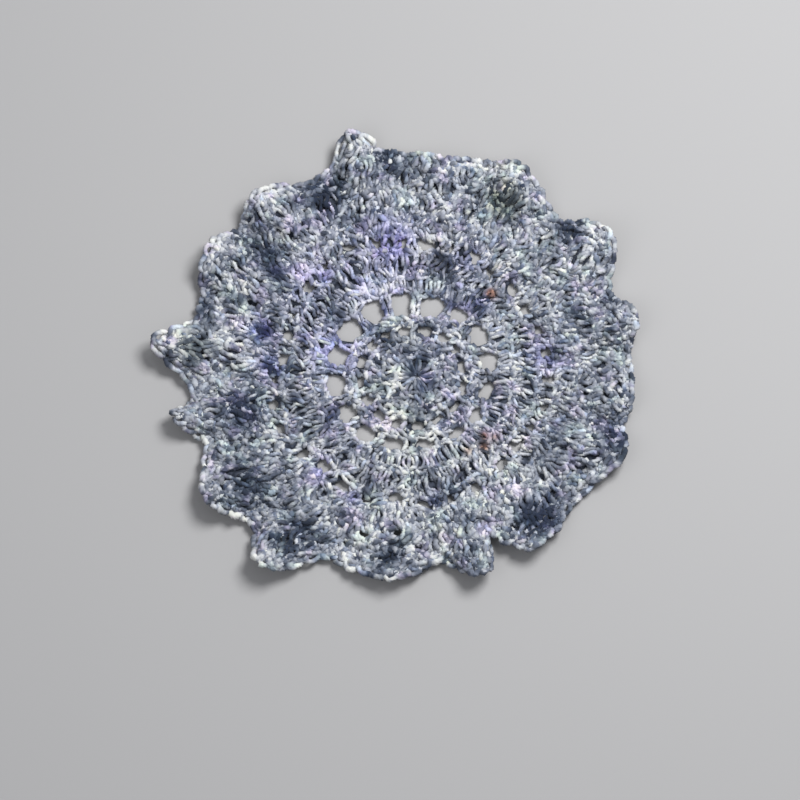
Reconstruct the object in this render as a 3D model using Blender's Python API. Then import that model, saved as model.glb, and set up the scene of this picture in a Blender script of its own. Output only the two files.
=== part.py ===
"""A round crocheted lace doily that lies on a surface: flat in the middle, ruffled into 16 folds at the rim.

The cloth is laid out in rounds. A point of it has two coordinates: turn, which counts the 16 repeats
anticlockwise from 0 to 16, and reach, its distance along the cloth from the centre in millimetres, up to RIM.
Each repeat has an opening at its middle, and beyond the flat part the crest of a fold there, with a trough
at its two ends. Tables are in millimetres and degrees; the mesh is in metres.
"""

import math
from collections import namedtuple

import bpy
from mathutils import Vector
from mathutils.geometry import delaunay_2d_cdt

MM = 0.001

THICKNESS = 3.0  # two crossed strands of yarn
REPEATS = 16
RIM = 120.0  # reach of the edge
FLAT = 56.0  # reach of the part that lies flat
EYE_ROUND = 26.0  # about the reach of the ring of small openings
WINDOW_ROUND = 38.0  # about the reach of the ring of large openings

# The middle of the windows, measured from the middle of the doily's box, and the first ring from there.
CENTRE = Vector((7.4, -7.25))
EYE_SHIFT = Vector((2.0, -1.8))

EYE_DEPTH = 0.93  # of its width
WINDOW_ROUNDNESS = 0.7  # 1 is an oval, and less has fuller corners
SMALL_CORNERS = 8
WINDOW_CORNERS = 12

# One row for each repeat: the direction, reach and width of its small opening, and the direction, reach, width
# and depth of its window, and how much wider its outer side is than its middle.
Window = namedtuple("Window", "eye_deg eye_reach eye_width deg reach width depth flare")
WINDOWS = (
    Window(10, 24.5, 4.2, 9, 38.2, 11.5, 9.5, 0.15),
    Window(31, 24.5, 4.2, 31.5, 38.1, 9.0, 9.5, 0.1),
    Window(52, 24.5, 6.0, 52.5, 37.7, 9.5, 9.0, 0.1),
    Window(77, 23.5, 4.6, 73.5, 36.0, 10.5, 11.5, 0.35),
    Window(101, 22.5, 5.2, 100, 36.2, 10.2, 12.4, 0.08),
    Window(123, 24.0, 4.4, 120, 37.7, 9.5, 12.0, 0.4),
    Window(145, 26.0, 5.6, 144.5, 38.8, 10.5, 11.0, 0.3),
    Window(166, 27.0, 4.4, 167, 38.5, 11.5, 10.0, 0.1),
    Window(188, 27.5, 4.2, 190.0, 38.4, 10.0, 10.0, 0.25),
    Window(209, 26.5, 5.0, 213, 38.9, 8.5, 8.5, 0.2),
    Window(232, 27.5, 5.0, 233, 39.6, 10.0, 8.5, 0.25),
    Window(252, 27.0, 5.4, 255.5, 38.6, 9.0, 7.5, 0.1),
    Window(274, 27.0, 4.2, 280.5, 37.5, 7.0, 5.0, 0.2),
    Window(297, 26.5, 4.2, 305.5, 37.6, 8.5, 5.5, 0.2),
    Window(320, 26.0, 4.4, 324.5, 38.5, 8.5, 7.0, 0.1),
    Window(343, 25.5, 5.0, 346, 37.7, 8.0, 6.0, 0.2),
)

# Gaps between the fans, two for each repeat: where each is on the cloth, and its size along the round and
# across it. The cloth is pulled this way and that, so they don't lie on one circle.
Gap = namedtuple("Gap", "turn reach width depth")
FAN_GAPS = (
    Gap(-0.10, 69.0, 6.4, 5.6), Gap(0.45, 68.0, 4.4, 4.2), Gap(0.95, 69.0, 5.8, 5.2), Gap(1.42, 66.0, 5.8, 5.2),
    Gap(1.85, 68.0, 6.2, 5.6), Gap(2.40, 65.5, 5.8, 5.4), Gap(2.85, 69.0, 7.0, 6.0), Gap(3.32, 68.5, 4.4, 4.2),
    Gap(3.80, 68.5, 6.2, 5.0), Gap(4.22, 68.5, 5.0, 4.6), Gap(4.68, 71.5, 6.0, 5.4), Gap(5.10, 75.5, 5.6, 5.0),
    Gap(5.65, 71.5, 4.6, 4.4), Gap(6.22, 69.5, 5.4, 4.8), Gap(6.80, 68.5, 5.0, 4.6), Gap(7.25, 66.0, 4.4, 4.2),
    Gap(7.68, 65.0, 5.2, 4.8), Gap(8.10, 71.5, 5.0, 4.6), Gap(8.62, 72.0, 4.4, 4.2), Gap(9.15, 73.5, 5.0, 4.8),
    Gap(9.75, 69.0, 4.6, 4.4), Gap(10.24, 65.5, 6.6, 5.4), Gap(10.76, 69.0, 6.2, 5.4), Gap(11.20, 73.5, 5.8, 5.2),
    Gap(11.70, 66.5, 6.2, 5.4), Gap(12.12, 71.0, 5.4, 4.8), Gap(12.68, 69.5, 4.6, 4.4), Gap(13.22, 69.0, 5.0, 4.8),
    Gap(13.90, 66.5, 6.2, 5.4), Gap(14.35, 64.0, 5.4, 4.8), Gap(14.80, 66.0, 4.4, 4.2), Gap(15.35, 68.5, 5.2, 4.8),
)
OUTER_GAPS = (
    Gap(1.95, 97.0, 4.6, 4.4), Gap(2.65, 91.0, 4.6, 4.4), Gap(2.65, 105.0, 5.6, 5.0), Gap(3.62, 80.5, 4.6, 4.4),
    Gap(4.00, 100.5, 5.0, 4.6), Gap(4.25, 81.5, 4.8, 4.6), Gap(11.25, 91.5, 5.0, 4.8), Gap(11.65, 86.5, 4.8, 4.6),
    Gap(15.30, 91.5, 4.8, 4.4), Gap(15.77, 89.0, 4.4, 4.2),
)

# One row for each fold, anticlockwise: the crest's direction, radius at the edge, and height there, how narrow
# the fold is (1 is a sine), a dip in the crest and where it lies between the flat part and the edge, and the
# trough after it.
Fold = namedtuple("Fold", "deg radius height narrow dip dip_at trough_deg trough_radius")
FOLDS = (
    Fold(13, 118.0, 8.0, 1.1, 0.0, 0.8, 23.5, 108.0),
    Fold(36, 123.5, 10.0, 1.0, 2.0, 0.6, 48.5, 110.5),
    Fold(63, 123.0, 9.0, 1.1, 4.5, 0.6, 71, 119.5),
    Fold(82, 113.0, 6.0, 1.0, 0.0, 0.8, 94, 119.0),
    Fold(103.5, 128.0, 10.0, 3.0, 0.0, 0.8, 117.5, 114.5),
    Fold(130.5, 124.5, 10.0, 1.2, 0.0, 0.8, 139.5, 118.0),
    Fold(148.5, 124.0, 9.0, 1.0, 2.5, 0.7, 161.5, 112.0),
    Fold(174, 130.5, 9.0, 2.4, 3.5, 0.7, 187, 112.0),
    Fold(192, 122.0, 8.0, 2.0, 3.0, 0.5, 200, 111.0),
    Fold(213.5, 126.5, 9.0, 1.0, 0.0, 0.8, 223, 113.0),
    Fold(234.5, 128.0, 10.0, 1.6, 6.0, 0.65, 248.0, 105.0),
    Fold(263, 110.8, 7.0, 0.8, 4.0, 0.75, 278, 98.0),
    Fold(289, 113.5, 9.0, 1.1, 0.0, 0.8, 294, 90.0),
    Fold(304, 112.0, 9.0, 0.65, 6.0, 0.78, 317, 104.5),
    Fold(338, 116.5, 8.0, 1.5, 3.0, 0.85, 346.5, 109.5),
    Fold(352, 112.5, 5.0, 1.0, 0.0, 0.8, 366.5, 109.0),
)
DIP_SPREAD = 0.16  # of the way from the flat part to the edge

# Rows of mesh points: the reach of a row, and how many points it has in each repeat.
Row = namedtuple("Row", "reach points")
ROWS = (
    Row(7.0, 1), Row(14.0, 1), Row(20.5, 2), Row(31.0, 2), Row(46.0, 2), Row(52.0, 3), Row(58.0, 4),
    Row(62.5, 4), Row(73.0, 4), Row(79.0, 6), Row(85.0, 6), Row(91.0, 8), Row(97.0, 8), Row(103.0, 8),
    Row(109.0, 8), Row(115.0, 8),
)
EDGE_POINTS = 14  # in each repeat
CLOSE_ROW = 6  # every second row with fewer points than this is turned by half a step, for even triangles
CLEARANCE = 1.2  # least distance from a mesh point to an opening that it isn't a corner of
LARGEST_OPENING = 20.0  # no opening is wider


def between(a, b, share):
    return a + (b - a) * share


def smooth(share):
    share = min(max(share, 0.0), 1.0)
    return share * share * (3 - 2 * share)


def ring_degrees(middles, turn):
    """Direction at a turn, on a ring whose repeats have their middles in these directions."""
    index = math.floor(turn - 0.5)
    before = middles[index % REPEATS] + 360 * (index // REPEATS)
    after = middles[(index + 1) % REPEATS] + 360 * ((index + 1) // REPEATS)
    return between(before, after, turn - 0.5 - index)


def fold_at(turn):
    """(direction, radius of the edge, share of the way up to the crest, fold) at a turn."""
    index = math.floor(turn)
    rise = turn - index
    fold = FOLDS[index % REPEATS]
    turned = 360 * (index // REPEATS)
    if rise < 0.5:
        last = FOLDS[(index - 1) % REPEATS]
        trough_deg = last.trough_deg - 360 * (index % REPEATS == 0)
        trough_radius = last.trough_radius
        share = rise * 2
    else:
        trough_deg = fold.trough_deg
        trough_radius = fold.trough_radius
        share = 2 - rise * 2
    swell = (0.5 - 0.5 * math.cos(math.pi * share)) ** fold.narrow
    degrees = between(trough_deg, fold.deg, share) + turned
    return degrees, between(trough_radius, fold.radius, swell), swell, fold


def place(turn, reach):
    """Where a point of the cloth lies, seen from above."""
    eye_deg = ring_degrees([window.eye_deg for window in WINDOWS], turn)
    window_deg = ring_degrees([window.deg for window in WINDOWS], turn)
    edge_deg, edge_radius, _, _ = fold_at(turn)
    outward = max(0.0, (reach - FLAT) / (RIM - FLAT))
    degrees = between(eye_deg, window_deg, smooth((reach - EYE_ROUND) / (WINDOW_ROUND - EYE_ROUND)))
    degrees = between(degrees, edge_deg, smooth((reach - WINDOW_ROUND) / (RIM - WINDOW_ROUND)))
    radius = reach + (edge_radius - RIM) * outward**1.6
    angle = math.radians(degrees)
    centre = CENTRE + EYE_SHIFT * max(0.0, 1 - reach / WINDOW_ROUND)
    return centre + Vector((math.cos(angle), math.sin(angle))) * radius


def lift(turn, reach):
    """Height of the cloth's underside."""
    outward = (reach - FLAT) / (RIM - FLAT)
    if outward <= 0:
        return 0.0
    _, _, swell, fold = fold_at(turn)
    dip = fold.dip * math.exp(-(((outward - fold.dip_at) / DIP_SPREAD) ** 2))
    return max(0.0, swell * (fold.height * smooth(outward) - dip * smooth(2 * outward)))


def thickness_at(turn, reach):
    """Height from the underside to the top: more on a slope, so that the cloth keeps its thickness."""
    step = 1.0
    turn_step = step / max(reach, 10.0) * REPEATS / (2 * math.pi)
    along = (lift(turn + turn_step, reach) - lift(turn - turn_step, reach)) / (2 * step)
    across = (lift(turn, reach + step) - lift(turn, reach - step)) / (2 * step)
    return THICKNESS * math.sqrt(1 + along**2 + across**2)


Opening = namedtuple("Opening", "turn reach width depth flare roundness corners")


def openings():
    """Every gap in the lace that is cut through."""
    found = []
    for index, window in enumerate(WINDOWS):
        turn = index + 0.5
        eye = (turn, window.eye_reach, window.eye_width, window.eye_width * EYE_DEPTH)
        found.append(Opening(*eye, 0.0, 1.0, SMALL_CORNERS))
        main = (turn, window.reach, window.width, window.depth, window.flare)
        found.append(Opening(*main, WINDOW_ROUNDNESS, WINDOW_CORNERS))
    for gap in FAN_GAPS + OUTER_GAPS:
        found.append(Opening(*gap, 0.0, 1.0, SMALL_CORNERS))
    return found


def cloth_shift(turn, reach, along, across):
    """The cloth coordinates a little way along the round and across it."""
    return turn + along / reach * REPEATS / (2 * math.pi), reach + across


def filled_out(value, roundness):
    """A coordinate of the unit circle, moved towards the square round it where roundness is below 1."""
    return math.copysign(abs(value) ** roundness, value)


def outline_of(opening):
    corners = []
    for corner in range(opening.corners):
        angle = 2 * math.pi * (corner + 0.5) / opening.corners
        out = filled_out(math.sin(angle), opening.roundness)
        side = filled_out(math.cos(angle), opening.roundness) * (1 + opening.flare * out)
        corners.append(cloth_shift(opening.turn, opening.reach, side * opening.width / 2, out * opening.depth / 2))
    return corners


def is_clear(turn, reach, gaps):
    """Whether a point of the cloth is far enough from every opening."""
    for gap in gaps:
        across = reach - gap.reach
        turns = (turn - gap.turn + REPEATS / 2) % REPEATS - REPEATS / 2
        along = turns * gap.reach * 2 * math.pi / REPEATS
        reach_along = gap.width / 2 + CLEARANCE
        reach_across = gap.depth / 2 + CLEARANCE
        if (along / reach_along) ** 2 + (across / reach_across) ** 2 < 1:
            return False
    return True


def holds(outline, point):
    """Whether a closed outline holds a point."""
    inside = False
    for a, b in zip(outline, outline[1:] + outline[:1]):
        if (a.y > point.y) != (b.y > point.y):
            if point.x < a.x + (point.y - a.y) / (b.y - a.y) * (b.x - a.x):
                inside = not inside
    return inside


def cloth_triangles():
    """The cloth coordinates of the sheet's mesh points, and its triangles, openings left out."""
    gaps = openings()
    loops = [[(step / EDGE_POINTS, RIM) for step in range(REPEATS * EDGE_POINTS)]]
    loops += [outline_of(gap) for gap in gaps]
    points = []
    edges = []
    for loop in loops:
        first = len(points)
        count = len(loop)
        points += loop
        edges += [(first + step, first + (step + 1) % count) for step in range(count)]
    points.append((0.0, 0.0))
    for number, row in enumerate(ROWS):
        for step in range(REPEATS * row.points):
            half_step = 0.5 if number % 2 and row.points < CLOSE_ROW else 0.0
            turn = (step + half_step) / row.points
            if is_clear(turn, row.reach, gaps):
                points.append((turn, row.reach))
    flat = [place(*point) for point in points]
    corners, _, triangles, origins, _, _ = delaunay_2d_cdt(flat, edges, [], 0, 1e-6)
    outlines = [[place(*point) for point in loop] for loop in loops]
    middles = [sum(outline, Vector((0, 0))) / len(outline) for outline in outlines]
    kept = []
    for triangle in triangles:
        middle = sum((corners[corner] for corner in triangle), Vector((0, 0))) / 3
        if not holds(outlines[0], middle):
            continue
        in_opening = False
        for outline, centre in zip(outlines[1:], middles[1:]):
            if (centre - middle).length < LARGEST_OPENING / 2 and holds(outline, middle):
                in_opening = True
        if not in_opening:
            kept.append([origins[corner][0] for corner in triangle])
    return points, kept


def doily_mesh():
    """The sheet as a closed mesh: its underside, its top, and the walls of its edge and openings."""
    points, triangles = cloth_triangles()
    under = []
    top = []
    for turn, reach in points:
        x, y = place(turn, reach)
        z = lift(turn, reach)
        under.append((x * MM, y * MM, z * MM))
        top.append((x * MM, y * MM, (z + thickness_at(turn, reach)) * MM))
    count = len(points)
    faces = []
    sides = set()
    for a, b, c in triangles:
        faces.append((a + count, b + count, c + count))
        faces.append((c, b, a))
        sides |= {(a, b), (b, c), (c, a)}
    for a, b in sorted(sides):
        if (b, a) not in sides:
            faces.append((a, b, b + count, a + count))
    mesh = bpy.data.meshes.new("doily")
    mesh.from_pydata(under + top, [], faces)
    mesh.validate()
    mesh.shade_smooth()
    return mesh


def yarn_material():
    material = bpy.data.materials.new("marled yarn")
    material.use_nodes = True
    shader = material.node_tree.nodes["Principled BSDF"]
    shader.inputs["Base Color"].default_value = (0.257, 0.273, 0.322, 1.0)
    shader.inputs["Roughness"].default_value = 0.9
    shader.inputs["Metallic"].default_value = 0.0
    return material


def main():
    for obj in list(bpy.data.objects):
        bpy.data.objects.remove(obj)
    doily = bpy.data.objects.new("doily", doily_mesh())
    doily.data.materials.append(yarn_material())
    bpy.context.scene.collection.objects.link(doily)


main()
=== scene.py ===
"""A round crocheted lace doily in marled yarn, dressed stitch by stitch over its packed sheet.

Every round is one length of two-ply yarn that runs through its stitches and chains as it does on the hook.
The cloth is laid out as in the part's source: turn counts the 16 repeats anticlockwise, and reach is the
distance along the cloth from the centre. Sizes are in millimetres here and in metres in the meshes.
"""

import math
from collections import namedtuple
from itertools import cycle

import bpy
import numpy as np
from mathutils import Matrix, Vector
from mathutils.geometry import delaunay_2d_cdt


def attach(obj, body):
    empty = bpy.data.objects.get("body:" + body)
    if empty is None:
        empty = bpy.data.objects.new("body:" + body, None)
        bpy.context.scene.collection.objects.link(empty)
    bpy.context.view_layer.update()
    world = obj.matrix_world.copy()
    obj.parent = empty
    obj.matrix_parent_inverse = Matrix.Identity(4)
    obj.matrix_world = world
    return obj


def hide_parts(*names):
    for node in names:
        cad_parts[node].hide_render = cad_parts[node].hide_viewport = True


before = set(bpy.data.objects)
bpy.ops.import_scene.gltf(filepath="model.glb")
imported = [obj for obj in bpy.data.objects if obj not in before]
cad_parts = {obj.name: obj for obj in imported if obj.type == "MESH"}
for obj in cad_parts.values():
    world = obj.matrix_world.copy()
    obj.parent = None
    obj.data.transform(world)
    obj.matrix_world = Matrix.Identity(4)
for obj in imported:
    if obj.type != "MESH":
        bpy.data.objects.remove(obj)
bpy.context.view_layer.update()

MM = 0.001


class Table(list):
    """Rows of one kind, a named tuple, whose names also give the table's columns."""

    def __init__(self, kind, *rows):
        super().__init__(kind(*row) for row in rows)

    def __getattr__(self, name):
        return np.array([getattr(row, name) for row in self])


# --- The cloth, as in the part's source ---

REPEATS = 16
RIM = 120.0  # reach of the edge
FLAT = 56.0  # reach of the part that lies flat
EYE_ROUND = 26.0  # about the reach of the ring of small openings
WINDOW_ROUND = 38.0  # and of the ring of windows
CENTRE = (7.4, -7.25)  # of the rounds, seen from above
EYE_SHIFT = (2.0, -1.8)  # how much further the very middle is pulled
EYE_DEPTH = 0.93  # of its width
WINDOW_ROUNDNESS = 0.7  # 1 is an oval, and less has fuller corners

# One row for each repeat: the direction, reach and width of its small opening, then its window, with how much
# wider the outer side is than the middle.
Window = namedtuple("Window", "eye_deg eye_reach eye_width deg reach width depth flare")
WINDOWS = Table(
    Window,
    (10, 24.5, 4.2, 9, 38.2, 11.5, 9.5, 0.15), (31, 24.5, 4.2, 31.5, 38.1, 9, 9.5, 0.1),
    (52, 24.5, 6, 52.5, 37.7, 9.5, 9, 0.1), (77, 23.5, 4.6, 73.5, 36, 10.5, 11.5, 0.35),
    (101, 22.5, 5.2, 100, 36.2, 10.2, 12.4, 0.08), (123, 24, 4.4, 120, 37.7, 9.5, 12, 0.4),
    (145, 26, 5.6, 144.5, 38.8, 10.5, 11, 0.3), (166, 27, 4.4, 167, 38.5, 11.5, 10, 0.1),
    (188, 27.5, 4.2, 190, 38.4, 10, 10, 0.25), (209, 26.5, 5, 213, 38.9, 8.5, 8.5, 0.2),
    (232, 27.5, 5, 233, 39.6, 10, 8.5, 0.25), (252, 27, 5.4, 255.5, 38.6, 9, 7.5, 0.1),
    (274, 27, 4.2, 280.5, 37.5, 7, 5, 0.2), (297, 26.5, 4.2, 305.5, 37.6, 8.5, 5.5, 0.2),
    (320, 26, 4.4, 324.5, 38.5, 8.5, 7, 0.1), (343, 25.5, 5, 346, 37.7, 8, 6, 0.2),
)

# Gaps between the fans, two for each repeat: where each is, and its size along the round and across it.
Gap = namedtuple("Gap", "turn reach width depth flare roundness", defaults=(0.0, 1.0))
FAN_GAPS = Table(
    Gap,
    (-0.1, 69, 6.4, 5.6), (0.45, 68, 4.4, 4.2), (0.95, 69, 5.8, 5.2), (1.42, 66, 5.8, 5.2),
    (1.85, 68, 6.2, 5.6), (2.4, 65.5, 5.8, 5.4), (2.85, 69, 7, 6), (3.32, 68.5, 4.4, 4.2),
    (3.8, 68.5, 6.2, 5), (4.22, 68.5, 5, 4.6), (4.68, 71.5, 6, 5.4), (5.1, 75.5, 5.6, 5),
    (5.65, 71.5, 4.6, 4.4), (6.22, 69.5, 5.4, 4.8), (6.8, 68.5, 5, 4.6), (7.25, 66, 4.4, 4.2),
    (7.68, 65, 5.2, 4.8), (8.1, 71.5, 5, 4.6), (8.62, 72, 4.4, 4.2), (9.15, 73.5, 5, 4.8),
    (9.75, 69, 4.6, 4.4), (10.24, 65.5, 6.6, 5.4), (10.76, 69, 6.2, 5.4), (11.2, 73.5, 5.8, 5.2),
    (11.7, 66.5, 6.2, 5.4), (12.12, 71, 5.4, 4.8), (12.68, 69.5, 4.6, 4.4), (13.22, 69, 5, 4.8),
    (13.9, 66.5, 6.2, 5.4), (14.35, 64, 5.4, 4.8), (14.8, 66, 4.4, 4.2), (15.35, 68.5, 5.2, 4.8),
)
OUTER_GAPS = Table(
    Gap,
    (1.95, 97, 4.6, 4.4), (2.65, 91, 4.6, 4.4), (2.65, 105, 5.6, 5), (3.62, 80.5, 4.6, 4.4),
    (4, 100.5, 5, 4.6), (4.25, 81.5, 4.8, 4.6), (11.25, 91.5, 5, 4.8), (11.65, 86.5, 4.8, 4.6),
    (15.3, 91.5, 4.8, 4.4), (15.77, 89, 4.4, 4.2),
)

# The crest of each fold and the trough after it. Some crests dip on their way out.
Fold = namedtuple("Fold", "deg radius trough_deg trough_radius height narrow dip dip_at", defaults=(0.0, 0.0))
FOLDS = Table(
    Fold,
    (13, 118, 23.5, 108, 8, 1.1), (36, 123.5, 48.5, 110.5, 10, 1, 2, 0.6),
    (63, 123, 71, 119.5, 9, 1.1, 4.5, 0.6), (82, 113, 94, 119, 6, 1),
    (103.5, 128, 117.5, 114.5, 10, 3), (130.5, 124.5, 139.5, 118, 10, 1.2),
    (148.5, 124, 161.5, 112, 9, 1, 2.5, 0.7), (174, 130.5, 187, 112, 9, 2.4, 3.5, 0.7),
    (192, 122, 200, 111, 8, 2, 3, 0.5), (213.5, 126.5, 223, 113, 9, 1),
    (234.5, 128, 248, 105, 10, 1.6, 6, 0.65), (263, 110.8, 278, 98, 7, 0.8, 4, 0.75),
    (289, 113.5, 294, 90, 9, 1.1), (304, 112, 317, 104.5, 9, 0.65, 6, 0.78),
    (338, 116.5, 346.5, 109.5, 8, 1.5, 3, 0.85), (352, 112.5, 366.5, 109, 5, 1),
)
DIP_SPREAD = 0.16


def between(a, b, share):
    return a + (b - a) * share


def smooth(value, start=0.0, full=1.0):
    """A share that grows smoothly from 0 at the start to 1 at the full value."""
    share = np.clip((value - start) / (full - start), 0.0, 1.0)
    return share * share * (3 - 2 * share)


def ring_degrees(middles, turn):
    """Direction at a turn, on a ring whose repeats have their middles in these directions."""
    turns = np.arange(-REPEATS, 2 * REPEATS) + 0.5
    return np.interp(turn, turns, np.concatenate([middles - 360, middles, middles + 360]))


def fold_at(turn):
    """(direction, radius of the edge, share of the way up to the crest, index of the fold) at a turn."""
    index = np.floor(turn).astype(int)
    rise = turn - index
    here = index % REPEATS
    rising = rise < 0.5
    share = np.where(rising, rise * 2, 2 - rise * 2)
    trough = np.where(rising, here - 1, here)
    trough_deg = FOLDS.trough_deg[trough] - 360 * (trough < 0)
    swell = (0.5 - 0.5 * np.cos(np.pi * share)) ** FOLDS.narrow[here]
    degrees = between(trough_deg, FOLDS.deg[here], share) + 360 * (index // REPEATS)
    radius = between(FOLDS.trough_radius[trough], FOLDS.radius[here], swell)
    return degrees, radius, swell, here


EDGE_PULL = 1.6  # above 1, the folds pull the cloth in and out mostly near its edge


def place(turn, reach):
    """Where points of the cloth lie, seen from above."""
    edge_deg, edge_radius, _, _ = fold_at(turn)
    degrees = ring_degrees(WINDOWS.eye_deg, turn)
    window_deg = ring_degrees(WINDOWS.deg, turn)
    degrees = between(degrees, window_deg, smooth(reach, EYE_ROUND, WINDOW_ROUND))
    angle = np.radians(between(degrees, edge_deg, smooth(reach, WINDOW_ROUND, RIM)))
    outward = np.maximum(0.0, (reach - FLAT) / (RIM - FLAT))
    radius = reach + (edge_radius - RIM) * outward**EDGE_PULL
    inward = np.maximum(0.0, 1 - reach / WINDOW_ROUND)
    ways = (np.cos(angle), np.sin(angle))
    return [middle + shift * inward + way * radius for middle, shift, way in zip(CENTRE, EYE_SHIFT, ways)]


def lift(turn, reach):
    """Height of the cloth's underside."""
    _, _, swell, here = fold_at(turn)
    outward = np.maximum(0.0, (reach - FLAT) / (RIM - FLAT))
    off_dip = (outward - FOLDS.dip_at[here]) / DIP_SPREAD
    dip = FOLDS.dip[here] * np.exp(-(off_dip**2))
    rise = swell * (FOLDS.height[here] * smooth(outward) - dip * smooth(2 * outward))
    return np.maximum(0.0, rise)


MIDDLE = 1.70  # height of the middle of the stitches over the underside

# The stitches puff up here and there, in waves round the doily and across it.
Puff = namedtuple("Puff", "around length start height")
PUFFS = Table(
    Puff,
    (32, 23, 0.6, 0.42), (41, -17, 2.4, 0.34), (25, -31, 4.9, 0.38), (54, 12, 1.3, 0.26),
)
PUFFS_FROM = 44.0  # reach from which they grow to their full height
PUFFS_FULL = 70.0


def swing(wave, turn, reach):
    """Where points are in a wave, as an angle."""
    return 2 * np.pi * (wave.around * turn / REPEATS + reach / wave.length) + wave.start


def puff(turn, reach):
    height = sum(wave.height * np.sin(swing(wave, turn, reach)) for wave in PUFFS)
    return height * smooth(reach, PUFFS_FROM, PUFFS_FULL)


def cloth_point(turn, reach):
    """Points on the middle of the cloth."""
    turn, reach = np.broadcast_arrays(turn, reach)
    x, y = place(turn, reach)
    return np.stack([x, y, lift(turn, reach) + MIDDLE + puff(turn, reach)], axis=-1)


def unit(vectors):
    return vectors / np.maximum(np.linalg.norm(vectors, axis=-1, keepdims=True), 1e-9)


def turn_for(length, reach):
    """How much turn a length along the round takes up at a reach."""
    return length / np.maximum(reach, 4.0) * REPEATS / (2 * np.pi)


def turn_from(gap, turn):
    """How much turn lies between a gap and points, less than 0 before it."""
    return (turn - gap.turn + REPEATS / 2) % REPEATS - REPEATS / 2


def cloth_normal(turn, reach):
    step = 0.6
    side = turn_for(step, reach)
    along = cloth_point(turn + side, reach) - cloth_point(turn - side, reach)
    across = cloth_point(turn, reach + step) - cloth_point(turn, np.maximum(reach - step, 0.0))
    return unit(np.cross(across, along))


# --- Yarn ---

YARN = 2.0  # diameter of the yarn
PLY_PITCH = 8.5  # length of yarn in which its two plies turn round once
SIDES = 6
RING_STEP = 1.2  # between rings of the yarn's mesh
GROOVE = 0.10  # depth of the groove between the plies, as a share of the radius
SLUB = 0.13  # how much thicker and thinner the yarn is in places, as a share of its radius
SLUB_LENGTH = 4.0
SIDE_SHADE = 1.8  # painted shade: how much more a strand's own sides count as deep in the cloth, and so darker, than its height there does
UNDERSIDE_SHADE = 0.3  # painted shade: the stitches' underside counts as this much deeper, and so darker, than their top, in yarn diameters

# The yarn's way through one double crochet, from where it arrives at the top to the stitch's own top loop:
# share of the way from base to top, to the side and up from the cloth, both in yarn diameters.
Bend = namedtuple("Bend", "share side rise")
TALL = Table(
    Bend,
    (0.84, -0.42, 0.34), (0.68, -0.46, 0.62), (0.48, 0.58, 0.54), (0.44, 0.38, -0.36), (0.42, -0.45, -0.38),
    (0.32, -0.48, 0.2), (0.1, -0.42, 0.42), (-0.1, 0, -0.25), (0.08, 0.42, 0.24), (0.3, 0.48, 0.36),
    (0.52, 0.22, -0.1), (0.72, 0.3, 0.05), (0.88, 0.34, 0.36), (1, 0.05, 0.1),
)
# Through one long stitch of the middle: straight down one side and up the other.
SPOKE = Table(
    Bend,
    (0.8, -0.44, 0.36), (0.4, -0.46, 0.55), (0, -0.34, 0.2), (-0.08, 0, -0.3), (0, 0.34, 0.2),
    (0.4, 0.46, 0.55), (0.8, 0.36, 0.42), (1, 0, 0),
)
# And through one single crochet, which has no wrap round its middle.
SHORT = Table(
    Bend,
    (0.6, -0.5, 0.36), (0.1, -0.36, 0.5), (-0.25, 0, -0.4), (0.15, 0.45, 0.2), (0.7, 0.3, 0.46),
    (1, 0, -0.1),
)

# One chain link, from one top loop to the next: share of the way along, outward and up in yarn diameters.
Loop = namedtuple("Loop", "along out rise")
LINK = Table(
    Loop,
    (0.45, 0.42, 0.36), (1, 0.55, 0.4), (1.3, 0, 0.12), (1, -0.5, 0.4), (0.45, -0.38, 0.34),
    (0.1, 0, -0.28),
)

# One rounded bead of the edge, which bows outward between two top loops.
BEAD = Table(
    Loop,
    (0.12, 0.4, 0.3), (0.42, 0.74, 0.46), (0.8, 0.74, 0.46), (1.06, 0.3, 0.34), (1.05, -0.4, 0.1),
    (0.55, -0.42, 0.3), (0.2, 0, -0.25),
)
BEAD_SIZE = 1.2

# Stitches and chain links. A stitch bends by its bow along the round and by its hump upward.
STITCH = "turn reach top_turn top_reach base_spread top_spread size bow hump"
Post, Spoke, Low = (namedtuple(name, STITCH, defaults=(1.0, 0.0, 0.0)) for name in ("Post", "Spoke", "Low"))
Chain = namedtuple("Chain", "turn reach end_turn end_reach size sink")
Bead = namedtuple("Bead", Chain._fields)

# Handwork pulls the cloth about: waves by which it is off its plan, outward and along the round.
Wave = namedtuple("Wave", "around length start out along")
WAVES = Table(
    Wave,
    (5, 61, 0.3, 0.5, 0.3), (9, 37, 2.1, 0.45, -0.45), (14, 29, 4.4, -0.45, 0.45),
    (23, 23, 1.2, 0.4, 0.5), (31, 17, 5.3, -0.35, 0.4),
)
WAVES_FROM = 45.0  # reach from which the waves grow to their full size
WAVES_FULL = 75.0
WAVES_INSIDE = 0.4  # share of their size nearer the centre
WAVES_START = 20.0  # reach up to which they fade to nothing at the centre


def settle(turn, reach):
    """Where the stitches really are: moved by the waves and pushed aside round the outer gaps."""
    turn, reach = np.broadcast_arrays(turn, reach)
    size = between(WAVES_INSIDE, 1.0, smooth(reach, WAVES_FROM, WAVES_FULL))
    size = size * smooth(reach / WAVES_START)
    out = sum(wave.out * np.sin(swing(wave, turn, reach)) for wave in WAVES)
    along = sum(wave.along * np.cos(swing(wave, turn, reach) + 1.0) for wave in WAVES)
    turn = turn + turn_for(along * size, reach)
    reach = reach + out * size
    for gap in OUTER_GAPS:
        room = (gap.depth + YARN) / 2
        across = (reach - gap.reach) / room
        off = turn_from(gap, turn)
        side = off / turn_for((gap.width + YARN) / 2, gap.reach)
        near = np.maximum(np.hypot(across, side), 0.05)
        push = (near**4 + 1) ** 0.25 / near
        reach = gap.reach + across * push * room
        turn = turn + off * (push - 1)
    return turn, reach


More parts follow.
